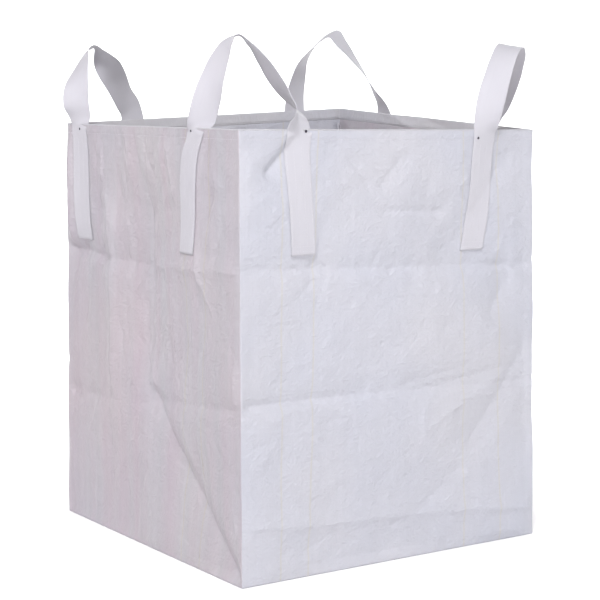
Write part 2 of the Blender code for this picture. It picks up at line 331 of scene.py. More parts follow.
def corner_relief(corner, z):
    """How far a vertical edge stands out along its diagonal: dents where the storage folds cross it."""
    rng = np.random.default_rng(3 + corner[0] + 3 * corner[1] + 10)
    d = np.zeros_like(z)
    for height in (0.437, 0.762):
        d -= rng.uniform(0.001, 0.0035) * np.exp(-np.abs(z - height - rng.uniform(-0.005, 0.005)) / 0.014)
    for _ in range(5):
        d += 0.0005 * np.sin(z * rng.uniform(8, 40) + rng.uniform(0, 6))
    return d * smoothstep(0, 0.04, z)


def relief(wall, s, z):
    """A wall's whole relief: its own in the middle, and what its neighbour has too at its two edges."""
    start, along, _ = WALLS[wall]
    length = wall_length(wall)
    far = tuple(c + 2 * a for c, a in zip(start, along))
    near_part = 1 - smoothstep(0, EDGE_FADE, s)
    far_part = 1 - smoothstep(0, EDGE_FADE, length - s)
    own = own_relief(wall, s, z) * smoothstep(0, 0.03, z)
    # The turned-over hem makes the top edge double and firm.
    firm = smoothstep(HEIGHT - 0.09, HEIGHT, z)
    own = own * (1 - 0.55 * firm)
    hem_line = HEIGHT - HEM_DEPTH
    own += 0.0009 * smoothstep(hem_line - 0.003, hem_line + 0.003, z)
    own -= 0.0007 * np.exp(-(((z - hem_line - 0.006) / 0.0035) ** 2))
    own = own * (1 - near_part - far_part)
    return own + corner_relief(start, z) * near_part + corner_relief(far, z) * far_part


# ---------------------------------------------------------------- the bag's shape


def on_wall(wall, s, z, lift=0.0):
    """Points on a wall's outer face, as rows of x, y, z. Lift is the distance out from that face."""
    (cx, cy), along, outward = WALLS[wall]
    length = wall_length(wall)
    s, z, lift = np.broadcast_arrays(np.asarray(s, float), np.asarray(z, float), np.asarray(lift, float))
    along, outward = np.array(along, float), np.array(outward, float)
    # The vertical edges are round: each wall turns 45 degrees to the diagonal at both of its ends.
    near_turn = np.clip(1 - s / EDGE_RADIUS, 0, 1) * HALF_CORNER
    far_turn = np.clip(1 - (length - s) / EDGE_RADIUS, 0, 1) * HALF_CORNER
    turn = near_turn + far_turn
    run = np.where(near_turn > 0, EDGE_RADIUS * (1 - np.sin(near_turn)), s)
    run = np.where(far_turn > 0, length - EDGE_RADIUS * (1 - np.sin(far_turn)), run)
    inset = EDGE_RADIUS * (1 - np.cos(turn))
    # The bottom edge is round too, and the base panel takes over at 45 degrees.
    tuck = np.clip(1 - z / EDGE_RADIUS, 0, 1) * HALF_CORNER
    height = np.where(tuck > 0, EDGE_RADIUS * (1 - np.sin(tuck)), z)
    stand = relief(wall, s, z) + lift - EDGE_RADIUS * (1 - np.cos(tuck))
    aside = np.sin(far_turn) - np.sin(near_turn)
    corner = np.array((cx * HALF_X, cy * HALF_Y))
    plan = corner + run[..., None] * along - inset[..., None] * outward
    plan = plan + stand[..., None] * (np.cos(turn)[..., None] * outward + aside[..., None] * along)
    return settle(np.concatenate([plan, height[..., None]], axis=-1))


def settle(points):
    """Leans the square bag into the stance of a real one: each corner has its own small shift."""
    across = np.clip((points[..., 0] / HALF_X + 1) / 2, 0, 1)[..., None]
    deep = np.clip((points[..., 1] / HALF_Y + 1) / 2, 0, 1)[..., None]
    up = (points[..., 2] / HEIGHT)[..., None]
    shifted = points.copy()
    for (cx, cy), foot in FOOT_SHIFT.items():
        share = (across if cx > 0 else 1 - across) * (deep if cy > 0 else 1 - deep)
        shift = np.array(foot) * (1 - up) + np.array(RIM_SHIFT[cx, cy]) * up
        shifted = shifted + share * shift
    return shifted


# ---------------------------------------------------------------- meshes


def new_piece(name, points, faces, uvs):
    mesh = bpy.data.meshes.new(name)
    mesh.from_pydata([tuple(p) for p in points], [], faces)
    layer = mesh.uv_layers.new(name="UVMap")
    corners = np.zeros(len(mesh.loops), np.int32)
    mesh.loops.foreach_get("vertex_index", corners)
    layer.data.foreach_set("uv", np.asarray(uvs, np.float32)[corners].ravel())
    mesh.polygons.foreach_set("use_smooth", [True] * len(mesh.polygons))
    mesh.update()
    piece = bpy.data.objects.new(name, mesh)
    bpy.context.scene.collection.objects.link(piece)
    return piece


def grid_faces(rows, columns, flip=False):
    faces = []
    for r in range(rows - 1):
        for c in range(columns - 1):
            low, high = r * columns + c, (r + 1) * columns + c
            quad = (low, low + 1, high + 1, high)
            faces.append(quad[::-1] if flip else quad)
    return faces


def runs_right(wall):
    """True where s runs to the right of a person who looks at the wall's outer face."""
    _, along, outward = WALLS[wall]
    return along[1] * outward[0] - along[0] * outward[1] > 0


def ring_faces(rings, sides):
    """The faces of a tube of so many rings, and its two end caps."""
    faces = []
    for r in range(rings - 1):
        for q in range(sides):
            a, b = r * sides + q, r * sides + (q + 1) % sides
            faces.append((a, b, b + sides, a + sides))
    return faces + [tuple(range(sides))[::-1], tuple((rings - 1) * sides + q for q in range(sides))]


def thicken(piece, thickness, offset=-1.0):
    solidify = piece.modifiers.new("thickness", "SOLIDIFY")
    solidify.thickness = thickness
    solidify.offset = offset


def finish_piece(piece, look, replaced):
    piece.data.materials.append(look)
    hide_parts(replaced)
    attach(piece, "bag")


def spaced(low, high, step):
    return np.linspace(low, high, max(2, round((high - low) / step) + 1))


def wall_grid(length):
    edge = EDGE_STEPS * EDGE_RADIUS
    middle = spaced(EDGE_RADIUS, length - EDGE_RADIUS, GRID)[1:-1]
    return np.concatenate([edge, middle, length - edge[::-1]])


def height_grid():
    """Finer at the hem, whose edge and stitches show."""
    hem_start = HEIGHT - HEM_DEPTH - 0.006
    body = spaced(EDGE_RADIUS, hem_start, GRID)[1:-1]
    return np.concatenate([EDGE_STEPS * EDGE_RADIUS, body, spaced(hem_start, HEIGHT, 0.003)])


def make_wall(wall, look):
    s, z = np.meshgrid(wall_grid(wall_length(wall)), height_grid())
    points = on_wall(wall, s, z).reshape(-1, 3)
    faces = grid_faces(*s.shape, flip=not runs_right(wall))
    piece = new_piece(f"{wall}_wall", points, faces, np.stack([s.ravel(), z.ravel()], 1))
    thicken(piece, CLOTH)
    finish_piece(piece, look, f"{wall}_panel")


def make_base(look):
    """The base panel, with its edge turned up to meet the walls."""
    r = EDGE_RADIUS
    edge = np.array([0, 0.35, 0.7, 1.0]) * r
    inner = spaced(r, 2 * HALF_X - r, 0.012)[1:-1]
    line = np.concatenate([edge, inner, 2 * HALF_X - edge[::-1]])
    u, v = np.meshgrid(line, line)
    x, y = np.zeros_like(u), np.zeros_like(u)
    rise = np.zeros_like(u)
    for value, out, half in ((u, x, HALF_X), (v, y, HALF_Y)):
        for sign in (-1, 1):
            gap = value if sign < 0 else 2 * half - value
            turn = np.clip(1 - gap / r, 0, 1) * HALF_CORNER
            place = half - np.where(turn > 0, r * (1 - np.sin(turn)), gap)
            side = value <= half if sign < 0 else value > half
            out[side] = sign * place[side]
            rise = np.maximum(rise, r * (1 - np.cos(turn)))
    rng = np.random.default_rng(5)
    from_edge = np.minimum(np.minimum(u, 2 * HALF_X - u), np.minimum(v, 2 * HALF_Y - v))
    rough = wrinkles(rng, u, v, 70, (0.1, 0.5), (0.01, 0.04), (0.0006, 0.003), 45, 60, 0.0, 2 * HALF_Y)
    rise = rise + smoothstep(0, 0.06, from_edge) * np.abs(rough)
    points = settle(np.stack([x, y, rise], -1)).reshape(-1, 3)
    faces = grid_faces(*u.shape, flip=True)
    piece = new_piece("bag_base", points, faces, np.stack([u.ravel(), v.ravel()], 1))
    thicken(piece, CLOTH)
    finish_piece(piece, look, "base_panel")


def make_hem(wall, look):
    """The wall's top edge turned to the inside: down the inner face, with a soft roll over the rim."""
    inside = CLOTH + 0.0006
    # The profile is (distance out, height over the rim), from the hem's thin lower edge to its outer lip.
    profile = [(-CLOTH - 0.0001, -HEM_DEPTH - 0.001), (-CLOTH - 0.0003, -HEM_DEPTH * 0.93)]
    profile += [(-inside, -HEM_DEPTH * share) for share in (0.85, 0.7, 0.55, 0.4, 0.25, 0.12, 0)]
    profile += [(-0.001, 0.0008), (-0.0003, 0.001), (0.0003, 0.0004)]
    profile += [(0.0004, -0.0014), (0.0001, -0.0024)]
    line = wall_grid(wall_length(wall))
    columns = len(line)
    rows = []
    for lift, rise in profile:
        surface = on_wall(wall, line, np.full(columns, HEIGHT + min(rise, 0)), lift)
        surface[:, 2] += max(rise, 0)
        rows.append(surface)
    uvs = [(s, HEM_DEPTH * r / len(profile)) for r in range(len(profile)) for s in line]
    faces = grid_faces(len(profile), columns, flip=runs_right(wall))
    piece = new_piece(f"{wall}_hem_fold", np.concatenate(rows), faces, uvs)
    thicken(piece, HEM_CLOTH)
    finish_piece(piece, look, f"{wall}_hem")


# The rings of a stitch that dips into the cloth at both ends, as (share of its length, radius, rise).
# Radius and rise are shares of the thread's radius.
STITCH_RINGS = ((0, 0.35, -0.6), (0.12, 0.9, 0.1), (0.5, 1.0, 0.35), (0.88, 0.9, 0.1), (1, 0.35, -0.6))
STITCH_FACES = ring_faces(len(STITCH_RINGS), STITCH_SIDES)


def stitch_points(start, end, normal):
    side = np.cross((end - start) / np.linalg.norm(end - start), normal)
    side /= np.linalg.norm(side)
    points = []
    for share, size, rise in STITCH_RINGS:
        centre = start + (end - start) * share + normal * THREAD_RADIUS * rise
        for k in range(STITCH_SIDES):
            angle = 2 * math.pi * k / STITCH_SIDES
            away = side * math.cos(angle) + normal * math.sin(angle)
            points.append(centre + away * THREAD_RADIUS * size)
    return points


def make_stitches(name, rows, look, replaced):
    """Rows of stitches. Each row is (points, normals) along its line, and is cut into equal stitches."""
    points, faces, uvs = [], [], []
    for line, normals in rows:
        run = run_along(line)
        for k in range(int(run[-1] / STITCH_PITCH)):
            at = (k * STITCH_PITCH, k * STITCH_PITCH + STITCH_LENGTH)
            start, end = (np.array([np.interp(a, run, line[:, i]) for i in range(3)]) for a in at)
            normal = np.array([np.interp(at[0], run, normals[:, i]) for i in range(3)])
            normal /= np.linalg.norm(normal)
            faces += [tuple(len(points) + i for i in face) for face in STITCH_FACES]
            points += stitch_points(start, end, normal)
            for r in range(len(STITCH_RINGS)):
                uvs += [(at[0] + STITCH_LENGTH * r / 4, THREAD_RADIUS * q) for q in range(STITCH_SIDES)]
    finish_piece(new_piece(name, points, faces, uvs), look, replaced)


def wall_row(wall, s, z, lift, inner=False):
    """A line on a wall for stitches to follow, and the wall's direction there."""
    _, _, outward = WALLS[wall]
    line = on_wall(wall, s, z, lift)
    normal = np.tile(np.array((*outward, 0.0)) * (-1 if inner else 1), (len(line), 1))
    return line, normal


def make_hem_stitches(look):
    """One seam line, seen on both faces of the wall."""
    rows = []
    inner_lift = -CLOTH - 0.0013 - THREAD_RADIUS * 0.5
    for wall in WALLS:
        s = spaced(EDGE_RADIUS, wall_length(wall) - EDGE_RADIUS, STITCH_STEP)
        z = np.full_like(s, HEIGHT - HEM_DEPTH + HEM_ROW_RISE)
        rows.append(wall_row(wall, s, z, THREAD_RADIUS * 0.5))
        rows.append(wall_row(wall, s, z, inner_lift, inner=True))
    make_stitches("hem_stitching", rows, look, "hem_stitches")


def make_seam(name, root, inward, side, look, thread_look, node):
    """A seam allowance that stands off the line `root`, with its row of stitches. It waves a little."""
    rng = np.random.default_rng(len(name) * 7 + 1)
    count = len(root)
    run = np.linspace(0, 1, count)
    wave = 0.0018 * np.sin(run * rng.uniform(20, 30) + rng.uniform(0, 6))
    wave = wave + 0.001 * np.sin(run * rng.uniform(50, 70))
    widths = np.linspace(0, 1, 5)
    grid = [root + inward * (CLOTH + SEAM_WIDTH * w) + side * (wave * w)[:, None] for w in widths]
    uvs = [(r * 0.9, w * SEAM_WIDTH) for w in widths for r in run]
    piece = new_piece(f"{name}_allowance", np.concatenate(grid), grid_faces(5, count), uvs)
    thicken(piece, 2 * CLOTH, 0.0)
    finish_piece(piece, look, node)
    row = root + inward * (CLOTH + SEAM_WIDTH * SEAM_ROW) + side * (wave * SEAM_ROW)[:, None]
    rows = []
    for face in (side, -side):
        rows.append((row + face * (CLOTH + THREAD_RADIUS * 0.4), np.tile(face, (count, 1))))
    make_stitches(f"{name}_stitching", rows, thread_look, f"{node}_stitches")


def make_seams(look, thread_look):
    for wall_y, cy in (("front", -1), ("back", 1)):
        for wall_x, cx in (("left", -1), ("right", 1)):
            node = f"{wall_y}_{wall_x}_corner_seam"
            low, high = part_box(node)[0].z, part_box(node)[1].z
            z = spaced(low, high, 0.01)
            s = np.full_like(z, 0.0 if cx < 0 else 2 * HALF_X)
            root = on_wall(wall_y, s, z)
            inward = np.array((-cx, -cy, 0)) / math.sqrt(2)
            side = np.array((cx, -cy, 0)) / math.sqrt(2)
            make_seam(f"{wall_y}_{wall_x}_corner", root, inward, side, look, thread_look, node)
    for wall, (_, along, outward) in WALLS.items():
        node = f"{wall}_base_seam"
        margin = SEAM_WIDTH + 0.008
        s = spaced(margin, wall_length(wall) - margin, 0.01)
        root = on_wall(wall, s, np.zeros_like(s))
        inward = np.array((-outward[0], -outward[1], 1)) / math.sqrt(2)
        side = np.array((outward[0], outward[1], 1)) / math.sqrt(2)
        make_seam(f"{wall}_base", root, inward, side, look, thread_look, node)


# ---------------------------------------------------------------- straps

# Each strap has two legs, as (wall, its line's points (s, z) from its lower end to the rim, heading), and
# a free part, as stations (along, out, up, heading, tilt) from the middle of its two feet at the rim. Along
# runs from the first foot to the second, and out is away from the bag's middle. Heading and tilt, in
# degrees, give the direction across the strap: heading 0 is +Y and 90 is +X.
STRAPS = {
    "front_left": {
        "first": ("left", [(0.249, 0.79), (0.243, 0.892), (0.236, 0.973), (0.222, 1.035), (0.196, 1.085)], 0),
        "second": ("front", [(0.183, 0.797), (0.176, 0.9), (0.17, 0.99), (0.168, 1.05), (0.17, 1.088)], 90),
        "free": [
            (-0.115, 0.002, 0.014, -38, 0),
            (-0.101, 0.004, 0.062, -44, 0),
            (-0.082, 0.008, 0.12, -22, 3),
            (-0.062, 0.008, 0.17, -8, 2),
            (-0.042, 0.004, 0.206, 8, 0),
            (-0.02, 0, 0.222, 26, -2),
            (0.006, 0, 0.204, 24, -4),
            (0.036, 0, 0.168, 12, -4),
            (0.07, 0.004, 0.122, 6, -8),
            (0.102, 0.006, 0.08, 12, -4),
            (0.126, 0.004, 0.046, 32, 0),
            (0.13, 0.002, 0.018, 70, 0),
        ],
    },
    "back_left": {
        "first": ("left", [(0.798, 0.786), (0.804, 0.87), (0.806, 0.95), (0.808, 1.028), (0.815, 1.08)], 0),
        "second": ("back", [(0.196, 0.792), (0.196, 0.89), (0.198, 0.98), (0.202, 1.05),
                   (0.206, 1.086)], -90),
        "free": [
            (-0.112, 0.002, 0.014, -24, 0),
            (-0.124, 0.004, 0.054, -50, 0),
            (-0.118, 0.008, 0.092, -40, 0),
            (-0.092, 0.014, 0.144, -6, -3),
            (-0.07, 0.013, 0.182, 14, -5),
            (-0.062, 0.006, 0.2, 24, -8),
            (-0.05, -0.005, 0.204, 27, -9),
            (-0.04, -0.013, 0.188, 4, -14),
            (-0.014, -0.018, 0.15, -46, -32),
            (0.03, -0.012, 0.106, -80, -42),
            (0.074, 0, 0.062, -98, -40),
            (0.106, 0.004, 0.03, -96, -22),
        ],
    },
    "back_right": {
        "first": ("right", [(0.664, 0.792), (0.664, 0.89), (0.664, 0.98), (0.664, 1.05), (0.664, 1.086)], 0),
        "second": ("back", [(0.74, 0.792), (0.74, 0.89), (0.74, 0.98), (0.74, 1.05), (0.74, 1.086)], 90),
        "free": [
            (-0.138, 0, 0.012, 8, 0),
            (-0.11, 0.002, 0.058, 26, 0),
            (-0.082, 0.002, 0.106, 36, 2),
            (-0.042, 0, 0.158, 46, 8),
            (-0.008, 0, 0.198, 56, 14),
            (0.018, 0, 0.226, 58, 18),
            (0.048, 0, 0.214, 46, 14),
            (0.083, 0, 0.184, 46, 8),
            (0.113, 0, 0.146, 56, 4),
            (0.13, 0.002, 0.096, 70, 0),
            (0.14, 0.002, 0.046, 80, 0),
        ],
    },
    "front_right": {
        "first": ("front", [(0.697, 0.788), (0.712, 0.86), (0.727, 0.96), (0.733, 1.04),
                   (0.738, 1.085)], -90),
        "second": ("right", [(0.194, 0.792), (0.194, 0.89), (0.194, 0.98), (0.192, 1.05), (0.19, 1.086)], 0),
        "free": [
            (-0.13, 0.006, 0.018, -76, 0),
            (-0.122, 0.017, 0.078, -56, 0),
            (-0.108, 0.03, 0.13, -36, 4),
            (-0.084, 0.044, 0.178, -28, 4),
            (-0.054, 0.054, 0.203, -22, 6),
            (-0.012, 0.064, 0.211, -20, 8),
            (0.03, 0.068, 0.194, -17, 8),
            (0.066, 0.062, 0.15, -10, 5),
            (0.096, 0.048, 0.096, -3, 2),
            (0.118, 0.028, 0.046, -2, 0),
        ],
    },
}


def run_along(points):
    """The distance from the first point to each point."""
    return np.concatenate([[0], np.cumsum(np.linalg.norm(np.diff(points, axis=0), axis=1))])


def catmull(points, parameters, at):
    """A smooth curve through the points, read at each value of `at`."""
    points, parameters = np.asarray(points, float), np.asarray(parameters, float)
    slopes = np.gradient(points, parameters, axis=0)
    k = np.clip(np.searchsorted(parameters, at, side="right") - 1, 0, len(points) - 2)
    h = (parameters[k + 1] - parameters[k])[:, None]
    t = ((at - parameters[k]) / h[:, 0])[:, None]
    ends = (2 * t**3 - 3 * t**2 + 1) * points[k] + (3 * t**2 - 2 * t**3) * points[k + 1]
    return ends + (t**3 - 2 * t**2 + t) * slopes[k] * h + (t**3 - t**2) * slopes[k + 1] * h


def across_direction(heading, tilt):
    heading, tilt = math.radians(heading), math.radians(tilt)
    return np.array((math.cos(tilt) * math.sin(heading), math.cos(tilt) * math.cos(heading), math.sin(tilt)))


def leg_points(leg):
    wall, line, _ = leg
    s, z = np.array(line).T
    return on_wall(wall, s, z, STRAP_LIFT + STRAP_THICKNESS / 2)


def strap_path(spec):
    """A strap's middle line, tangent and direction across it, at equal steps, and its two feet."""
    legs = (spec["first"], spec["second"])
    first, second = (leg_points(leg) for leg in legs)
    # The feet are where the two legs' lines reach the rim.
    feet = [on_wall(wall, [line[-1][0]], [HEIGHT])[0] for wall, line, _ in legs]
    middle = (feet[0] + feet[1]) / 2
    line = feet[1] - feet[0]
    line[2] = 0
    line /= np.linalg.norm(line)
    outward = np.cross(line, (0, 0, 1))
    outward *= np.sign(outward @ middle)
    free = [middle + line * a + outward * o + np.array((0, 0, u)) for a, o, u, _, _ in spec["free"]]
    points = np.concatenate([first, free, second[::-1]])
    across = [across_direction(spec["first"][2], 0)] * len(first)
    across += [across_direction(heading, tilt) for *_, heading, tilt in spec["free"]]
    across += [across_direction(spec["second"][2], 0)] * len(second)
    run = run_along(points)
    fine = np.linspace(0, run[-1], 1200)
    arc = run_along(catmull(points, run, fine))
    at = np.interp(spaced(0, arc[-1], STRAP_STEP), arc, fine)
    centre = catmull(points, run, at)
    tangent = np.gradient(centre, axis=0)
    tangent /= np.linalg.norm(tangent, axis=1)[:, None]
    side = catmull(across, run, at)
    # A sewn leg that leans keeps its threads level, and a free band is square to its own line.
    free_part = smoothstep(HEIGHT - 0.01, HEIGHT + 0.05, centre[:, 2])[:, None]
    side -= free_part * tangent * (side * tangent).sum(1)[:, None]
    side /= np.linalg.norm(side, axis=1)[:, None]
    return centre, tangent, side, feet


# A strap's section: (share of half the width, share of half the thickness), with soft selvedges
SECTION = [(x, 1.0) for x in (-0.955, -0.82, -0.62, -0.42, -0.21, 0.0, 0.21, 0.42, 0.62, 0.82, 0.955)]
SECTION = [(-1.0, 0.0), (-0.985, 0.65)] + SECTION + [(0.985, 0.65), (1.0, 0.0), (0.985, -0.65)]
SECTION += [(-x, -y) for x, y in SECTION[2:13]] + [(-0.985, -0.65)]


def strap_sections(spec):
    """The strap's section at each step: laid on the wall below the rim, and free above it."""
    centre, tangent, side, feet = strap_path(spec)
    normal = np.cross(tangent, side)
    # The outer face looks away from the wall on the first leg.
    first_out = np.array((*WALLS[spec["first"][0]][2], 0.0))
    if normal[0] @ first_out < 0:
        normal = -normal
    sections = []
    for k in range(len(centre)):
        half = 0 if k < len(centre) / 2 else 1
        wall = (spec["first"], spec["second"])[half][0]
        rim = feet[half][2]
        wide, thick = side[k] * STRAP_WIDTH / 2, normal[k] * STRAP_THICKNESS / 2
        section = np.array([centre[k] + wide * x + thick * y for x, y in SECTION])
        held = float(1 - smoothstep(rim - SEWN_DROP, rim + FREE_RISE, centre[k][2]))
        if held > 0:
            section = section * (1 - held) + laid_section(wall, centre[k], side[k], rim) * held
        sections.append(section)
    return np.array(sections)


def laid_section(wall, centre, side, rim):
    """A strap's section where it is sewn down: it follows the wall's relief."""
    along = np.array(WALLS[wall][1], float)
    start = np.array(WALLS[wall][0]) * (HALF_X, HALF_Y)
    s_mid = float((centre[:2] - start) @ along)
    z_mid = min(centre[2] * HEIGHT / rim, HEIGHT)
    # The wall's own stance moves the point along it, so that is taken off first.
    s_mid -= float((on_wall(wall, [s_mid], [z_mid])[0][:2] - centre[:2]) @ along)
    step = side * STRAP_WIDTH / 2
    s = np.array([s_mid + x * float(step[:2] @ along) for x, _ in SECTION])
    z = np.array([min((centre[2] + x * step[2]) * HEIGHT / rim, HEIGHT) for x, _ in SECTION])
    lift = np.array([STRAP_LIFT + STRAP_THICKNESS / 2 * (1 + y) for _, y in SECTION])
    laid = on_wall(wall, s, z, lift)
    laid[:, 2] = [centre[2] + x * step[2] for x, _ in SECTION]
    return laid


def leg_ends(corner):
    """For each wall that a corner's strap is sewn to, which end of that wall it is at."""
    y_wall, x_wall = corner.split("_")
    return {y_wall: x_wall, x_wall: y_wall}


def make_strap(corner, spec, look):
    sections = strap_sections(spec)
    points = sections.reshape(-1, 3)
    run = run_along(sections.mean(1))
    uvs = [(x * STRAP_WIDTH / 2, along) for along in run for x, _ in SECTION]
    piece = new_piece(f"{corner}_strap", points, ring_faces(len(sections), len(SECTION)), uvs)
    mesh = piece.data
    volume = sum(p.area * (p.normal @ (p.center - Vector(points.mean(0)))) for p in mesh.polygons)
    if volume < 0:
        mesh.flip_normals()
    loop = f"{corner}_loop"
    mesh.materials.append(look)
    ends = leg_ends(corner)
    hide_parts(loop, *(f"{leg[0]}_leg_{ends[leg[0]]}" for leg in (spec["first"], spec["second"])))
    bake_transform(piece)


def leg_rows(leg):
    """A sewn leg's stitching: four lines along it, and two across its lower end."""
    wall, line, _ = leg
    line_s, line_z = np.array(line).T
    z = spaced(line_z[0] + LEG_ROW_MARGIN, HEIGHT - LEG_ROW_DROP, STITCH_STEP)
    lift = STRAP_LIFT + STRAP_THICKNESS - THREAD_RADIUS * 0.3
    rows = []
    for aside in LEG_ROWS:
        rows.append(wall_row(wall, np.interp(z, line_z, line_s) + aside * STRAP_WIDTH, z, lift))
    for height in (z[0], z[0] + END_ROW_GAP):
        across = spaced(LEG_ROWS[0], LEG_ROWS[-1], 0.1) * STRAP_WIDTH
        s = across + float(np.interp(height, line_z, line_s))
        rows.append(wall_row(wall, s, np.full_like(s, height), lift))
    return rows


# A tack's place on each sewn leg: s on its wall, and z
TACKS = {
    ("left", "front"): (0.214, 1.0935),
    ("left", "back"): (0.814, 1.087),
    ("front", "left"): (0.189, 1.096),
    ("front", "right"): (0.716, 1.079),
    ("back", "left"): (0.222, 1.088),
    ("back", "right"): (0.724, 1.088),
    ("right", "front"): (0.208, 1.088),
    ("right", "back"): (0.648, 1.088),
}


def make_tack(wall, end, look):
    """A round of dark thread packed tight: a low coil that winds in to a raised middle."""
    s, z = TACKS[wall, end]
    _, along, outward = WALLS[wall]
    centre = on_wall(wall, [s], [z], STRAP_LIFT + STRAP_THICKNESS)[0]
    out = np.array((*outward, 0.0))
    right = np.array((*along, 0.0))
    up = np.array((0, 0, 1.0))
    rings, segments = 9, 24
    points, uvs = [], []
    for r in range(rings):
        share = r / (rings - 1)
        radius = TACK_RADIUS * (1 - share) + 0.0002
        dome = TACK_RISE * math.sin(share * math.pi / 2) ** 0.6
        rise = dome + 0.00018 * math.cos(share * math.pi * 8)
        for q in range(segments):
            angle = 2 * math.pi * q / segments
            wobble = 1 + 0.05 * math.sin(3 * angle + s * 40) + 0.03 * math.sin(7 * angle)
            away = right * math.cos(angle) + up * math.sin(angle)
            points.append(centre + away * radius * wobble + out * rise)
            uvs.append((angle, radius))
    faces = ring_faces(rings, segments)
    if not runs_right(wall):
        faces = [face[::-1] for face in faces]
    piece = new_piece(f"{wall}_{end}_tack", points, faces, uvs)
    finish_piece(piece, look, f"{wall}_tack_{end}")


def make_straps(look, thread_look, tack_look):
    for corner, spec in STRAPS.items():
        make_strap(corner, spec, look)
        ends = leg_ends(corner)
        for leg in (spec["first"], spec["second"]):
            wall = leg[0]
            name, node = f"{wall}_{ends[wall]}_leg_stitching", f"{wall}_leg_{ends[wall]}_stitches"
            make_stitches(name, leg_rows(leg), thread_look, node)
            make_tack(wall, ends[wall], tack_look)


# ---------------------------------------------------------------- materials


class Nodes:
    """A small builder of shader nodes. Each call returns an output socket."""

    def __init__(self, name):
        self.material = bpy.data.materials.new(name)
        self.material.use_nodes = True
        self.tree = self.material.node_tree
        self.tree.nodes.clear()
        self.output = self.tree.nodes.new("ShaderNodeOutputMaterial")
        self.shader = self.tree.nodes.new("ShaderNodeBsdfPrincipled")
        self.tree.links.new(self.shader.outputs[0], self.output.inputs[0])
        uv = self.tree.nodes.new("ShaderNodeUVMap")
        uv.uv_map = "UVMap"
        split = self.tree.nodes.new("ShaderNodeSeparateXYZ")
        self.tree.links.new(uv.outputs[0], split.inputs[0])
        self.uv, self.u, self.v = uv.outputs[0], split.outputs[0], split.outputs[1]

    def put(self, socket, value):
        if isinstance(value, bpy.types.NodeSocket):
            self.tree.links.new(value, socket)
        else:
            socket.default_value = value

    def math(self, kind, a, b=0.0, clamp=False):
        node = self.tree.nodes.new("ShaderNodeMath")
        node.operation = kind
        node.use_clamp = clamp
        self.put(node.inputs[0], a)
        self.put(node.inputs[1], b)
        return node.outputs[0]

    def times(self, a, b, clamp=False):
        return self.math("MULTIPLY", a, b, clamp)

    def plus(self, a, b):
        return self.math("ADD", a, b)

    def minus(self, a, b, clamp=False):
        return self.math("SUBTRACT", a, b, clamp)

    def noise(self, scale_u, scale_v, detail=2.0, shift=0.0):
        place = self.tree.nodes.new("ShaderNodeMapping")
        self.put(place.inputs["Vector"], self.uv)
        place.inputs["Scale"].default_value = (scale_u, scale_v, 1)
        place.inputs["Location"].default_value = (shift, shift * 0.7, 0)
        node = self.tree.nodes.new("ShaderNodeTexNoise")
        node.inputs["Scale"].default_value = 1.0
        node.inputs["Detail"].default_value = detail
        self.put(node.inputs["Vector"], place.outputs[0])
        return node.outputs["Fac"]

    def ridges(self, scale_u, scale_v, shift):
        """Sharp little crests where the noise crosses its middle, as in crumpled cloth."""
        spread = self.minus(self.noise(scale_u, scale_v, 1.5, shift), 0.5)
        spread = self.times(spread, 3.0)
        return self.minus(1.0, self.math("ABSOLUTE", spread), clamp=True)

    def centred(self, value, amount):
        """Noise from 0 to 1 made a change from -amount to amount, and a little more contrasty."""
        return self.times(self.minus(value, 0.5), 2.2 * amount)

    def blend(self, fac, a, b):
        node = self.tree.nodes.new("ShaderNodeMix")
        node.data_type = "RGBA"
        self.put(node.inputs["Factor"], fac)
        self.put(node.inputs["A"], a if isinstance(a, bpy.types.NodeSocket) else (*a, 1))
        self.put(node.inputs["B"], b if isinstance(b, bpy.types.NodeSocket) else (*b, 1))
        return node.outputs["Result"]

    def scaled(self, colour, factor):
        node = self.tree.nodes.new("ShaderNodeVectorMath")
        node.operation = "SCALE"
        self.put(node.inputs[0], colour)
        self.put(node.inputs["Scale"], factor)
        return node.outputs[0]

    def tinted(self, colour, tint):
        node = self.tree.nodes.new("ShaderNodeVectorMath")
        node.operation = "MULTIPLY"
        self.put(node.inputs[0], colour)
        self.put(node.inputs[1], tint)
        return node.outputs[0]

    def bump(self, height, distance, strength, before=None):
        node = self.tree.nodes.new("ShaderNodeBump")
        node.inputs["Distance"].default_value = distance
        node.inputs["Strength"].default_value = strength
        self.put(node.inputs["Height"], height)
        if before is not None:
            self.put(node.inputs["Normal"], before)
        return node.outputs[0]


def weave_height(n, pitch_u, pitch_v):
    """Height of a plain weave of flat tapes: warp over weft in one check, weft over warp in the next."""
    u, v = n.times(n.u, 1 / pitch_u), n.times(n.v, 1 / pitch_v)
    warp = n.math("ABSOLUTE", n.math("SINE", n.times(u, math.pi)))
    weft = n.math("ABSOLUTE", n.math("SINE", n.times(v, math.pi)))
    parity = n.math("PINGPONG", n.plus(n.math("FLOOR", u), n.math("FLOOR", v)), 1.0)
    over = n.times(n.math("POWER", warp, 0.5), parity)
    under = n.times(n.math("POWER", weft, 0.5), n.minus(1.0, parity))
    return n.plus(over, under)


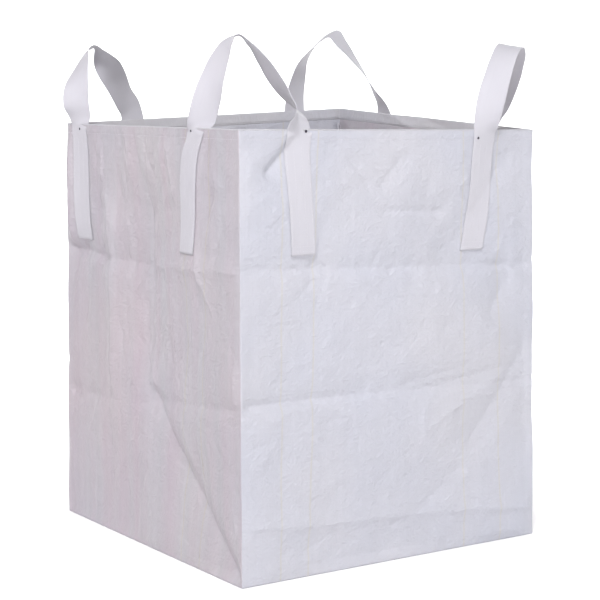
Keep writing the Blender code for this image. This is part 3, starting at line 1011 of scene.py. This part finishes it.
def fabric(name, colour, yarn_lines=(), pitch=0.0023, painted_side_light=0.0):
    """White woven polypropylene: tapes of slightly different whiteness, a faint sheen and a few tinted yarns.
    Each yarn line is (s at the floor, s at the rim)."""
    n = Nodes(name)
    tone = n.plus(n.centred(n.noise(430, 3.5), 0.02), n.centred(n.noise(3.5, 430, shift=4.0), 0.016))
    # Lengthwise streaks of tone are the cloth's own; for the side walls they are made stronger, as painted
    # shade of their vertical wrinkles.
    tone = n.plus(tone, n.centred(n.noise(60, 0.9, shift=9.0), 0.02 + 0.035 * painted_side_light))
    tone = n.plus(tone, n.centred(n.noise(9, 0.6, 2.0, shift=3.0), 0.016 + 0.03 * painted_side_light))
    tone = n.plus(tone, n.centred(n.noise(5, 4, 4.0, shift=2.0), 0.03))
    tone = n.plus(tone, 1.0)
    # For the side walls the cloth is tinted pink in streaky patches: the painted colour of the warm light
    # from the left.
    tint = n.noise(16, 0.9, 3.0, shift=6.0)
    warm_lit_pink = tuple(c * f for c, f in zip(colour, (1.0 + 0.03 * painted_side_light, 1.0 - 0.07 * painted_side_light, 1.0 - 0.035 * painted_side_light)))
    paint = n.blend(n.times(n.minus(tint, 0.35), 2.6, clamp=True), colour, warm_lit_pink)
    # Broad patches are a cooler white.
    cool = n.tinted(n.scaled(paint, 0.97), (0.968, 0.99, 1.03))
    patches = n.minus(n.noise(2.6, 2.0, 3.0, shift=11.0), 0.34)
    paint = n.blend(n.times(patches, 3.0, clamp=True), paint, cool)
    for low, high in yarn_lines:
        line = n.plus(n.times(n.v, (high - low) / HEIGHT), low)
        away = n.math("ABSOLUTE", n.minus(n.u, line))
        near = n.minus(1.0, n.times(away, 1 / 0.0036), clamp=True)
        yellow = tuple(c * f for c, f in zip(colour, (1.0, 0.965, 0.83)))
        paint = n.blend(n.times(near, 0.85), paint, yellow)
    n.put(n.shader.inputs["Base Color"], n.scaled(paint, tone))
    rough = n.plus(n.centred(n.noise(60, 60, 3.0, shift=1.0), 0.1), 0.52)
    n.put(n.shader.inputs["Roughness"], rough)
    weave = n.bump(weave_height(n, pitch, pitch), 0.00022, 0.35)
    crumple = n.plus(n.ridges(42, 50, 7.0), n.times(n.ridges(95, 80, 3.0), 0.5))
    n.put(n.shader.inputs["Normal"], n.bump(crumple, 0.0016, 0.75, weave))
    n.shader.inputs["Specular IOR Level"].default_value = 0.35
    n.shader.inputs["Sheen Weight"].default_value = 0.12
    n.shader.inputs["Sheen Roughness"].default_value = 0.4
    return n.material


def webbing(name, colour):
    """Woven strap: fine lengthwise ribs crossed by the weft, and firmer edges, which are a little darker in
    colour.
    """
    n = Nodes(name)
    tone = n.plus(n.centred(n.noise(900, 6), 0.022), n.centred(n.noise(12, 900, shift=3.0), 0.016))
    tone = n.plus(tone, n.centred(n.noise(14, 9, 3.0, shift=5.0), 0.02))
    edge = n.math("ABSOLUTE", n.times(n.u, 2 / STRAP_WIDTH))
    # The colour grows a little darker over the outer few percent of the width, towards each selvedge.
    darker_edges = n.times(n.minus(edge, 0.93, clamp=True), -0.6)
    tone = n.plus(n.plus(tone, darker_edges), 1.0)
    cooler = tuple(c * f for c, f in zip(colour, (0.985, 0.98, 1.0)))
    paint = n.blend(n.noise(20, 6, 2.0, shift=8.0), colour, cooler)
    n.put(n.shader.inputs["Base Color"], n.scaled(paint, tone))
    rough = n.plus(n.centred(n.noise(80, 40, 3.0, shift=1.0), 0.08), 0.62)
    n.put(n.shader.inputs["Roughness"], rough)
    weave = n.bump(weave_height(n, 0.0022, 0.0013), 0.0003, 0.45)
    n.put(n.shader.inputs["Normal"], n.bump(n.noise(60, 24, 2.0, shift=7.0), 0.0008, 0.2, weave))
    n.shader.inputs["Specular IOR Level"].default_value = 0.3
    n.shader.inputs["Sheen Weight"].default_value = 0.18
    return n.material


def thread(name, colour, roughness=0.6):
    """Twisted sewing thread: slanting plies."""
    n = Nodes(name)
    slant = n.plus(n.times(n.u, 1 / 0.0011), n.times(n.v, 1 / 0.0018))
    ply = n.math("ABSOLUTE", n.math("SINE", n.times(slant, math.pi)))
    # The grooves between the plies are painted darker and their crests lighter: painted shade that follows
    # the bump.
    tone = n.plus(n.times(ply, 0.14), n.centred(n.noise(300, 300, shift=2.0), 0.06))
    n.put(n.shader.inputs["Base Color"], n.scaled(colour, n.plus(tone, 0.9)))
    n.put(n.shader.inputs["Roughness"], n.plus(n.centred(n.noise(200, 200), 0.06), roughness))
    n.put(n.shader.inputs["Normal"], n.bump(ply, 0.0002, 0.6))
    n.shader.inputs["Specular IOR Level"].default_value = 0.3
    return n.material


def floor_look():
    n = Nodes("studio_floor")
    tone = n.plus(n.centred(n.noise(3, 3, 3.0), 0.004), 1.0)
    n.put(n.shader.inputs["Base Color"], n.scaled((0.93, 0.93, 0.93), tone))
    n.shader.inputs["Roughness"].default_value = 0.9
    n.shader.inputs["Specular IOR Level"].default_value = 0.1
    return n.material


# ---------------------------------------------------------------- stage, lights, camera

CAMERA_PLACE = (-2.768, -4.252, 1.342)
CAMERA_TURN = (81.84, 0.21, -33.24)  # degrees
CAMERA_LENS = 114  # millimetres, on a sensor 36 mm wide


def make_stage():
    """A pale round floor that sweeps up all round, so every view ends in it."""
    flat, cove, top = 7.0, 2.6, 6.0
    profile = [(0.02, 0.0), (1.5, 0.0), (3.0, 0.0), (5.0, 0.0), (flat, 0.0)]
    for a in np.radians(np.linspace(7.5, 90, 12)):
        profile.append((flat + cove * math.sin(a), cove - cove * math.cos(a)))
    profile.append((flat + cove, top))
    segments = 96
    points, uvs = [], []
    for radius, high in profile:
        for k in range(segments + 1):
            a = 2 * math.pi * k / segments
            points.append((radius * math.cos(a), radius * math.sin(a), high))
            uvs.append((radius * math.cos(a), radius * math.sin(a)))
    floor = new_piece("studio_floor", points, grid_faces(len(profile), segments + 1), uvs)
    floor.data.materials.append(floor_look())


def area_light(name, place, size, power, colour, target=(0, 0, 0.6)):
    data = bpy.data.lights.new(name, "AREA")
    data.shape = "DISK"
    data.size = size
    data.energy = power
    data.color = colour
    light = bpy.data.objects.new(name, data)
    light.location = place
    light.rotation_mode = "QUATERNION"
    light.rotation_quaternion = (Vector(target) - light.location).to_track_quat("-Z", "Y")
    bpy.context.scene.collection.objects.link(light)
    return light


def make_lights():
    world = bpy.data.worlds.new("studio")
    world.use_nodes = True
    background = world.node_tree.nodes["Background"]
    background.inputs["Color"].default_value = (0.98, 0.985, 1.0, 1)
    background.inputs["Strength"].default_value = 0.24
    bpy.context.scene.world = world
    area_light("key", (-2.6, -3.15, 5.7), 1.2, 365, (0.985, 0.985, 1.0))
    area_light("front_fill", (-0.9, -5.2, 1.3), 1.0, 77, (1.0, 0.985, 0.995), (0, -0.4, 0.9))
    area_light("left_fill", (-5.2, 0.8, 1.6), 1.6, 52, (1.0, 0.92, 0.96), (0, 0, 0.8))
    # One lamp stands for the light that real cloth lets in, and one lifts the shadow on the floor.
    inside = area_light("inside_bounce", (0, 0, 0.45), 0.6, 1.9, (1.0, 0.98, 0.96), (0, 0, 3.0))
    under = area_light("floor_lift", (1.8, 1.0, 1.2), 1.6, 46, (1.0, 1.0, 1.0), (1.801, 1.0, 0))
    inside.visible_camera = under.visible_camera = False
    area_light("backdrop", (1.9, 2.9, 3.2), 2.0, 500, (1.0, 1.0, 1.0), (5.0, 7.6, 0.6))
    area_light("backdrop_top", (1.0, 1.6, 4.6), 2.0, 250, (1.0, 1.0, 1.0), (5.0, 7.6, 2.0))
    bpy.context.scene.view_settings.view_transform = "Standard"


def make_camera():
    data = bpy.data.cameras.new("camera")
    data.sensor_width = 36
    data.lens = CAMERA_LENS
    camera = bpy.data.objects.new("camera", data)
    camera.location = CAMERA_PLACE
    camera.rotation_euler = [math.radians(angle) for angle in CAMERA_TURN]
    bpy.context.scene.collection.objects.link(camera)
    bpy.context.scene.camera = camera


# ---------------------------------------------------------------- build

make_camera()
make_stage()
make_lights()

WHITE = (0.447, 0.443, 0.48)
WEB = (0.46, 0.452, 0.484)
front_cloth = fabric("front_cloth", WHITE, ((0.109, 0.124), (0.189, 0.226), (0.668, 0.668), (0.785, 0.785)))
# The side walls' cloth is a darker, pinker copy of the same white fabric: painted shade of walls that face
# away from the key light, and the painted pink of the warm left fill.
shaded_side_cloth = fabric("shaded_side_cloth", (0.402, 0.386, 0.406), ((0.2, 0.14), (0.285, 0.245)), painted_side_light=1.0)
back_cloth = fabric("back_cloth", WHITE, ((0.15, 0.15), (0.235, 0.235), (0.7, 0.7), (0.785, 0.785)))
hem_cloth = fabric("hem_cloth", (0.46, 0.45, 0.47))
seam_cloth = fabric("seam_cloth", (0.52, 0.51, 0.54))
web_look = webbing("strap_webbing", WEB)
thread_look = thread("white_thread", (0.51, 0.5, 0.535))
tack_look = thread("dark_thread", (0.045, 0.038, 0.055), 0.5)

make_base(back_cloth)
wall_cloths = {"front": front_cloth, "left": shaded_side_cloth, "back": back_cloth, "right": shaded_side_cloth}
for wall_name, cloth in wall_cloths.items():
    make_wall(wall_name, cloth)
    make_hem(wall_name, hem_cloth)
make_hem_stitches(thread_look)
make_seams(seam_cloth, thread_look)
make_straps(web_look, thread_look, tack_look)
